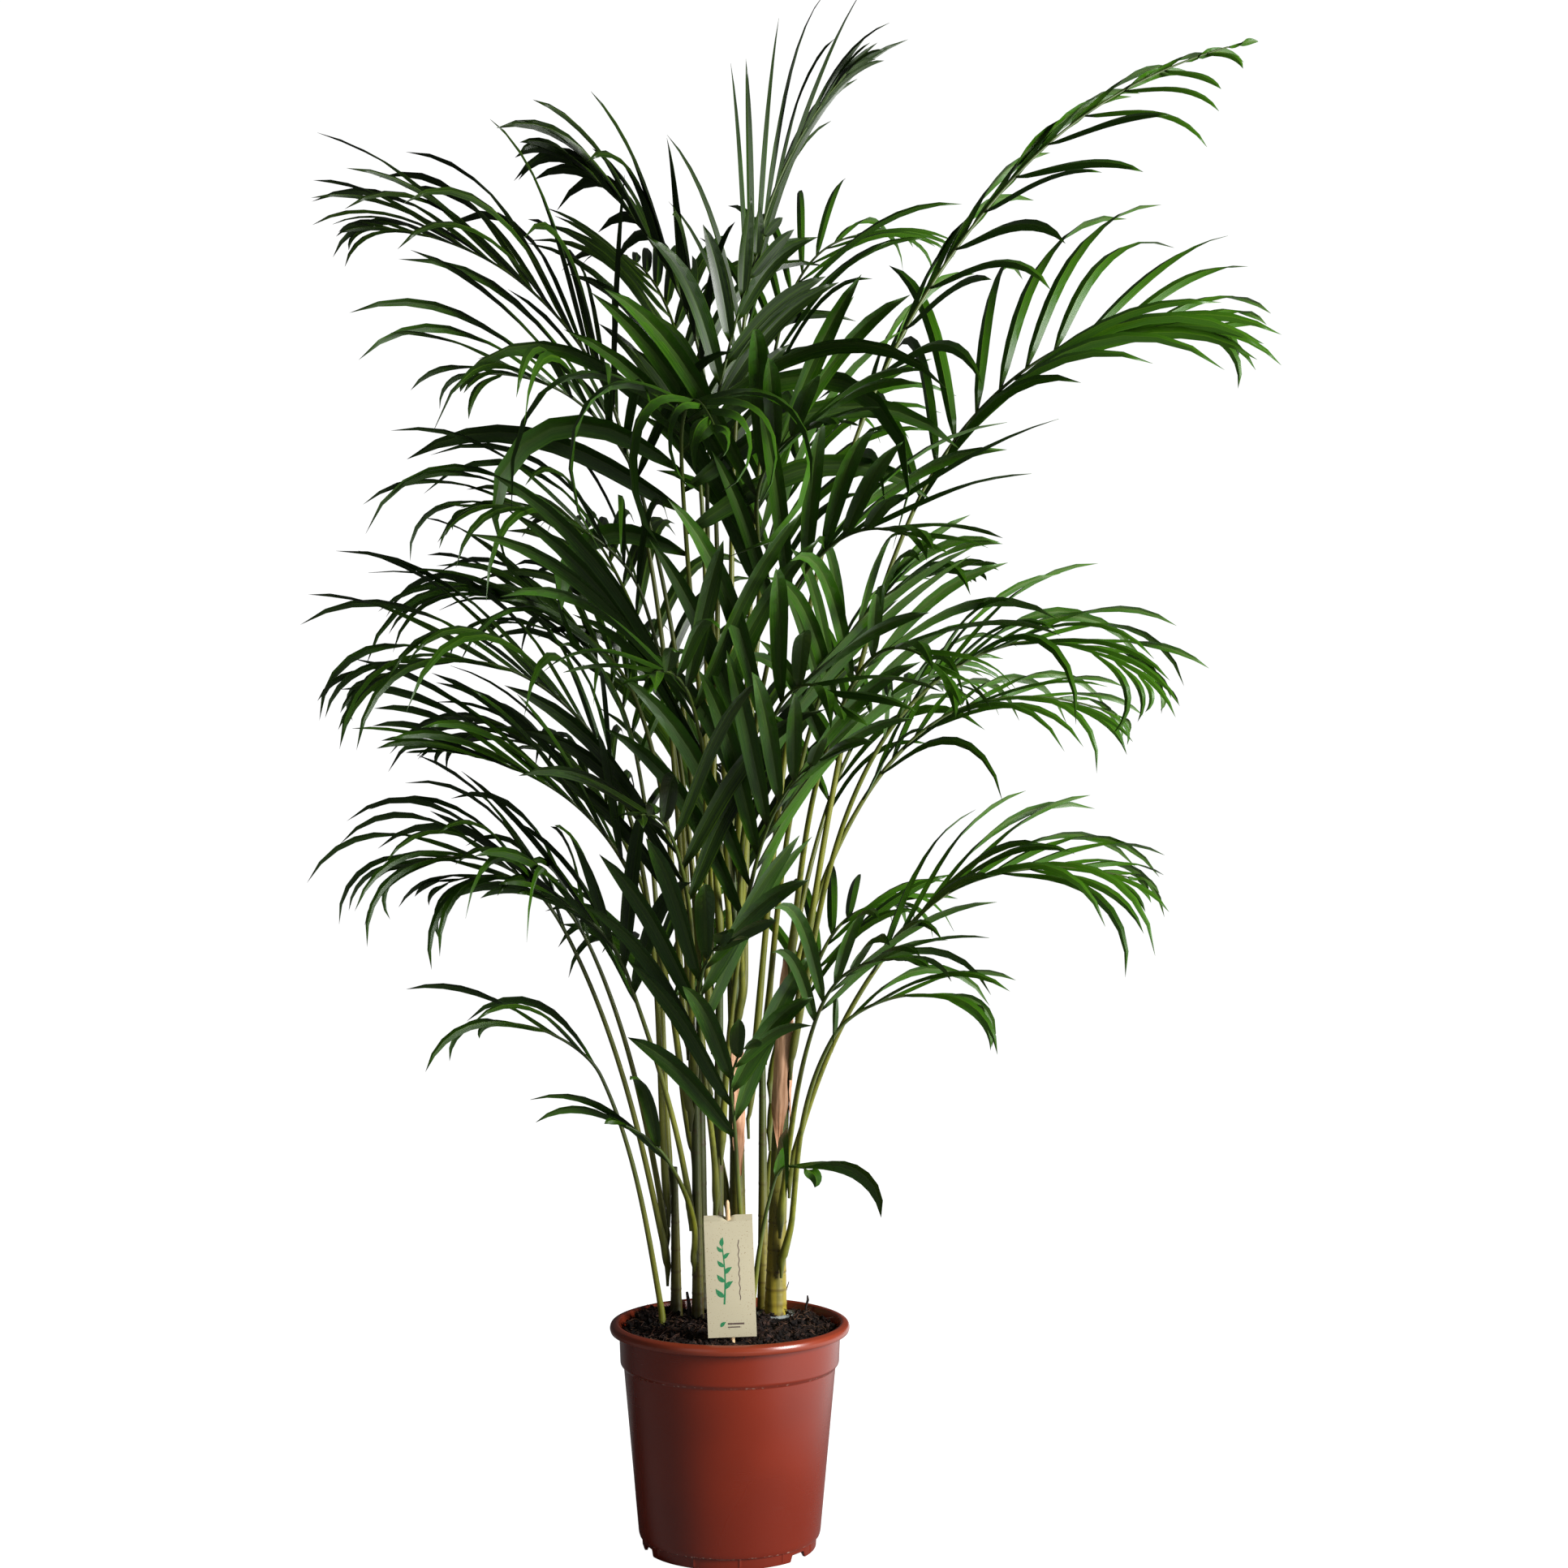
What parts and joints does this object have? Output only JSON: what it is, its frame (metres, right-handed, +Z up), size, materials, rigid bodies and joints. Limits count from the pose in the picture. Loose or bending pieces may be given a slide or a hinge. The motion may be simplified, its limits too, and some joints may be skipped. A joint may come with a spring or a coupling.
{
  "type": "potted palm",
  "caption": "Potted areca palm: a clump of slender canes with arching feathery fronds, in a terracotta-coloured plastic nursery pot with a card label on a peg.",
  "frame": {"origin": "middle of the pot's underside, on the surface that it stands on", "axes": "+Z up; -Y towards the front, where the label is; +X to the right seen from the front"},
  "size_m": [0.9835, 0.9034, 1.5142],
  "materials": {
    "pot_plastic": "semi-gloss moulded plastic, terracotta coloured",
    "peat": "rough, damp, crumbly",
    "cane_skin": "smooth, ringed, with brown scars and papery sheaths",
    "leaf": "satin, waxy, finely veined",
    "clear_plastic": "pale, translucent",
    "card": null,
    "peg_wood": "plain sanded wood"
  },
  "bodies": {
    "root": {"pot": "pot_plastic", "soil": "peat", "cane_1": "cane_skin", "cane_2": "cane_skin", "cane_3": "cane_skin", "cane_4": "cane_skin", "cane_5": "cane_skin", "cane_6": "cane_skin", "cane_7": "cane_skin", "cane_8": "cane_skin", "frond_01": "leaf", "frond_02": "leaf", "frond_03": "leaf", "frond_04": "leaf", "frond_05": "leaf", "frond_06": "leaf", "frond_07": "leaf", "frond_08": "leaf", "frond_09": "leaf", "frond_10": "leaf", "frond_11": "leaf", "frond_12": "leaf", "frond_13": "leaf", "frond_14": "leaf", "frond_15": "leaf", "frond_16": "leaf", "frond_17": "leaf", "frond_18": "leaf", "frond_19": "leaf", "frond_20": "leaf", "frond_21": "leaf", "frond_22": "leaf", "frond_23": "leaf", "frond_24": "leaf", "frond_25": "leaf", "frond_26": "leaf", "frond_27": "leaf", "frond_28": "leaf", "frond_29": "leaf", "frond_30": "leaf", "frond_31": "leaf", "frond_32": "leaf", "frond_33": "leaf", "frond_34": "leaf", "frond_35": "leaf", "frond_36": "leaf", "frond_37": "leaf", "frond_38": "leaf", "frond_39": "leaf", "frond_40": "leaf", "frond_41": "leaf", "frond_42": "leaf", "frond_43": "leaf", "plug_collar": "clear_plastic", "label_card": "card", "label_peg": "peg_wood"}
  },
  "joints": []
}
